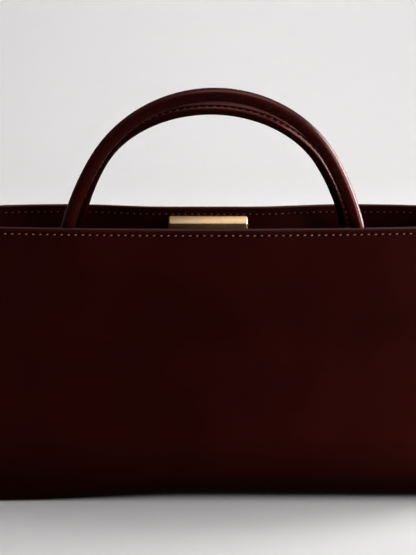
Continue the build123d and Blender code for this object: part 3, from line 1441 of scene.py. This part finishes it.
    def build(self) -> list[Object]:
        """Makes the handle, with its leather turned down into tabs at the roots, and dresses its
        rivets.

        Returns:
            The pieces.
        """
        word, f = self.side.label, self.finishes
        body = f"{word}_handle"
        cover = self.cover()
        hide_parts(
                f"{word}_handle_cover",
                f"{word}_left_handle_tab",
                f"{word}_right_handle_tab",
            )
        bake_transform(cover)
        cord = self.cord()
        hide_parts(f"{word}_handle_core")
        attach(cord, body)
        pieces = [cover, cord]
        # The seam takes the darker thread as painted shade.
        seam = Stitching(
            length=1.7 * MM,
            width=0.62 * MM,
            proud=0.30 * MM,
            slant=math.radians(6),
            dark=True,
        )
        for piece in seam.sew(f"{word}_handle_stitches", self.seam_spots(), f):
            pieces.append(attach(piece, body))
        for end, name in END_WORDS.items():
            row = Stitching(length=2.0 * MM, hole=0.8 * MM)
            for piece in row.sew(f"{word}_{name}_tab_stitches", self.tab_spots(end), f):
                pieces.append(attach(piece, "bag_body"))
        dress(f"{word}_handle_rivets", f.rivet)
        return pieces


# ---- Clasp --------------------------------------------------------------------------------


@dataclass
class Clasp:
    """The magnetic closure: a chamfered brass bar and the plate it pulls to."""

    finishes: Finishes
    end_bevel: float = 1.0 * MM
    softening: float = 0.16 * MM

    def half(self, node: str, name: str, side: Side, chamfer: float) -> Object:
        """One half: a brass block with a sloped top edge and softened corners.

        Args:
            node: The CAD node it stands for.
            name: Name of the piece.
            side: The wall it is screwed to.
            chamfer: Size of the slope along its top edge.

        Returns:
            The piece.
        """
        low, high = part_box(node)
        bm = block(low, high)
        front = low.y if side is Side.REAR else high.y
        top = [
            e
            for e in bm.edges
            if all(abs(v.co.z - high.z) < 1e-6 and abs(v.co.y - front) < 1e-6 for v in e.verts)
        ]
        bevel(bm, top, chamfer)
        back = high.y if side is Side.REAR else low.y
        ends = [
            e
            for e in bm.edges
            if abs(e.verts[0].co.x - e.verts[1].co.x) < 1e-6
            and not all(abs(v.co.y - back) < 1e-6 for v in e.verts)
        ]
        bevel(bm, ends, self.end_bevel)
        bevel(bm, bm.edges[:], self.softening, 2)
        piece = make_piece(bm, name, self.finishes.brass, 30)
        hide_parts(node)
        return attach(piece, "bag_body")

    def build(self) -> list[Object]:
        """Makes both halves and dresses what is screwed behind them.

        Returns:
            The pieces.
        """
        pieces = [
            self.half("clasp_bar", "clasp_bar_brass", Side.REAR, 4.4 * MM),
            self.half("catch_plate", "catch_plate_brass", Side.FRONT, 1.2 * MM),
        ]
        for word in ("clasp", "catch"):
            dress(f"{word}_magnet", self.finishes.magnet)
            dress(f"{word}_backplate", self.finishes.steel)
            dress(f"{word}_screws", self.finishes.steel)
        return pieces


def dress(node: str, finish: Material) -> None:
    """Gives a CAD node that stays in view its finish."""
    piece = frame["nodes"][node]
    piece.data.materials.clear()
    piece.data.materials.append(finish)
    log.info("%s: dressed", node)


# ---- Studio -------------------------------------------------------------------------------


@dataclass
class Studio:
    """Pale floor, soft lights and the camera."""

    camera_place: Triple = (0.0, -0.907, 0.3185)
    camera_pitch: float = math.radians(11.35)
    lens: float = 89.2
    backdrop: float = 0.80

    def floor(self) -> None:
        """A wide pale floor that sweeps up into a backdrop well behind the bag."""
        bm = bmesh.new()
        bmesh.ops.create_grid(bm, x_segments=1, y_segments=120, size=1.0)
        flat, sweep = 7.6, 0.5
        quarter = sweep * math.pi / 2
        for vert in bm.verts:
            travel = (vert.co.y + 1) / 2 * (flat + quarter + 3.0)
            turn = min(max(0.0, travel - flat) / sweep, math.pi / 2)
            y = min(travel, flat) - 6.0 + sweep * math.sin(turn)
            z = sweep * (1 - math.cos(turn)) + max(0.0, travel - flat - quarter)
            vert.co = (vert.co.x * 6.0, y, z)
        material, s, shader, where = blank_material("pale_floor")
        speckle = s.noise(where, 40.0, 5.0, 0.6)
        s.put(
            shader.inputs["Base Color"],
            s.blend(speckle, (0.79, 0.775, 0.775, 1), (0.81, 0.795, 0.795, 1)),
        )
        shader.inputs["Roughness"].default_value = 0.8
        shader.inputs["Specular IOR Level"].default_value = 0.1
        # Painted light: seen by the camera only, the floor glows more the farther it lies from the
        # bag, so that it fades into the pale backdrop.
        parts = s.add("ShaderNodeSeparateXYZ", Vector=where)
        aside = s.math("ABSOLUTE", parts.outputs["X"])
        ahead = s.math("MULTIPLY", parts.outputs["Y"], -1.0)
        far = s.span(s.math("MAXIMUM", aside, ahead), 0.7, 2.6, 0.0, 0.66)
        seen = s.tree.nodes.new("ShaderNodeLightPath").outputs["Is Camera Ray"]
        s.put(shader.inputs["Emission Color"], (0.985, 0.99, 1.0, 1))
        s.put(shader.inputs["Emission Strength"], s.math("MULTIPLY", far, seen))
        floor = make_piece(bm, "studio_floor", material)
        floor.visible_glossy = False

    def lamp(
        self,
        name: str,
        place: Triple,
        aim: Triple,
        size: tuple[float, float],
        watts: float,
        mirrored: bool = True,
        lighting: bool = True,
    ) -> None:
        """A soft rectangular light.

        Args:
            name: Name of the light.
            place: Where it hangs.
            aim: The point it faces.
            size: Its width and height.
            watts: Its power.
            mirrored: Whether glossy surfaces show it.
            lighting: Whether it lights matt surfaces.
        """
        light = bpy.data.lights.new(name, "AREA")
        light.shape = "RECTANGLE"
        light.size, light.size_y = size
        light.energy = watts
        lamp = bpy.data.objects.new(name, light)
        lamp.location = place
        lamp.visible_glossy = mirrored
        lamp.visible_diffuse = lighting
        lamp.rotation_euler = (Vector(aim) - Vector(place)).to_track_quat("-Z", "Y").to_euler()
        bpy.context.scene.collection.objects.link(lamp)

    def sky(self) -> None:
        """The room: pale to look at, brighter behind and above, dim in front."""
        world = bpy.data.worlds.new("studio_room")
        bpy.context.scene.world = world
        world.use_nodes = True
        s = Shader(world.node_tree)
        back = world.node_tree.nodes["Background"]
        where = world.node_tree.nodes.new("ShaderNodeTexCoord").outputs["Generated"]
        parts = s.add("ShaderNodeSeparateXYZ", Vector=where)
        behind = s.span(parts.outputs["Y"], 0.1, 1.0, 0.0, 0.03)
        right = s.span(parts.outputs["X"], 0.0, 0.9, 0.0, 0.35)
        above = s.span(parts.outputs["Z"], 0.45, 1.0, 0.0, 0.2)
        glow = s.math("ADD", s.math("ADD", behind, right), above)
        level = s.span(parts.outputs["Z"], -0.04, 0.06, 0.0, 1.0)
        glow = s.math("ADD", s.math("MULTIPLY", glow, level), 0.02)
        low = s.span(parts.outputs["Z"], -0.35, -0.2, 0.0, 1.0)
        high = s.span(parts.outputs["Z"], 0.12, 0.42, 1.0, 0.0)
        rightward = s.span(parts.outputs["X"], -0.25, 0.6, 0.12, 1.0)
        rearward = s.span(parts.outputs["Y"], -0.05, 0.35, 0.0, 0.55)
        window = s.math("MULTIPLY", s.math("MULTIPLY", low, high), rightward)
        glow = s.math("ADD", glow, s.math("MULTIPLY", window, rearward))
        seen = world.node_tree.nodes.new("ShaderNodeLightPath").outputs["Is Camera Ray"]
        mixed = world.node_tree.nodes.new("ShaderNodeMix")
        s.put(mixed.inputs[0], seen)
        s.put(mixed.inputs[2], glow)
        s.put(mixed.inputs[3], self.backdrop)
        back.inputs["Color"].default_value = (1, 1, 1, 1)
        s.put(back.inputs["Strength"], mixed.outputs[0])

    def camera(self) -> None:
        """The camera, above the rim and a little over arm's length away."""
        data = bpy.data.cameras.new("camera")
        data.lens = self.lens
        data.sensor_width = 36.0
        data.clip_start = 0.05
        data.clip_end = 100.0
        camera = bpy.data.objects.new("camera", data)
        camera.location = self.camera_place
        camera.rotation_euler = (math.pi / 2 - self.camera_pitch, 0, 0)
        bpy.context.scene.collection.objects.link(camera)
        bpy.context.scene.camera = camera

    def build(self) -> None:
        """Sets up the whole studio."""
        bpy.context.scene.view_settings.view_transform = "Standard"
        self.floor()
        self.sky()
        self.lamp("key_right", (1.2, 0.36, 0.42), (0, 0, 0.2), (1.0, 0.8), 14)
        self.lamp("overhead", (0.25, -0.32, 1.35), (0.05, 0, 0.1), (1.1, 0.7), 3.3)
        self.lamp("backdrop", (0.65, 0.6, 2.0), (0.25, 2.0, 0.5), (2.4, 0.8), 37, False)
        self.lamp("side_right", (0.85, -0.45, 0.42), (0.05, -0.05, 0.14), (0.3, 0.45), 2.8)
        self.lamp("window", (1.15, 0.35, 0.55), (0, 0, 0.25), (0.3, 0.9), 14, True, False)
        self.camera()


def main() -> None:
    """Builds the bag, part by part, then the studio."""
    logging.basicConfig(level=logging.INFO, format="%(name)s %(message)s")
    finishes = Finishes()
    panel_low, panel_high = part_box("front_panel")
    form = WallForm(
        half_width=panel_high.x,
        half_depth=-panel_low.y,
        height=panel_high.z,
        root_x=ROOT_X,
    )
    Base(form, finishes).build()
    for side in Side:
        Wall(side, form, finishes).build()
    for end in END_WORDS:
        Gusset(end, form, finishes).build()
    joints = {joint["name"]: joint for joint in frame["joints"]}
    for side, lean, skew, spread, tube, settle in (
        (Side.FRONT, 0.0, 1.2 * MM, -1.3 * MM, 4.35 * MM, 0.013),
        (Side.REAR, math.radians(28), -1.2 * MM, -2.4 * MM, 4.6 * MM, -0.002),
    ):
        _, pivot_y, pivot_z = joints[f"{side.label}_handle_tilt"]["pos_m"]
        handle = Handle(
            side, form, finishes, pivot_y, pivot_z, lean, skew, 2.9 * MM, spread, tube, settle
        )
        handle.build()
    Clasp(finishes).build()
    Studio().build()


if __name__ == "__main__":
    main()
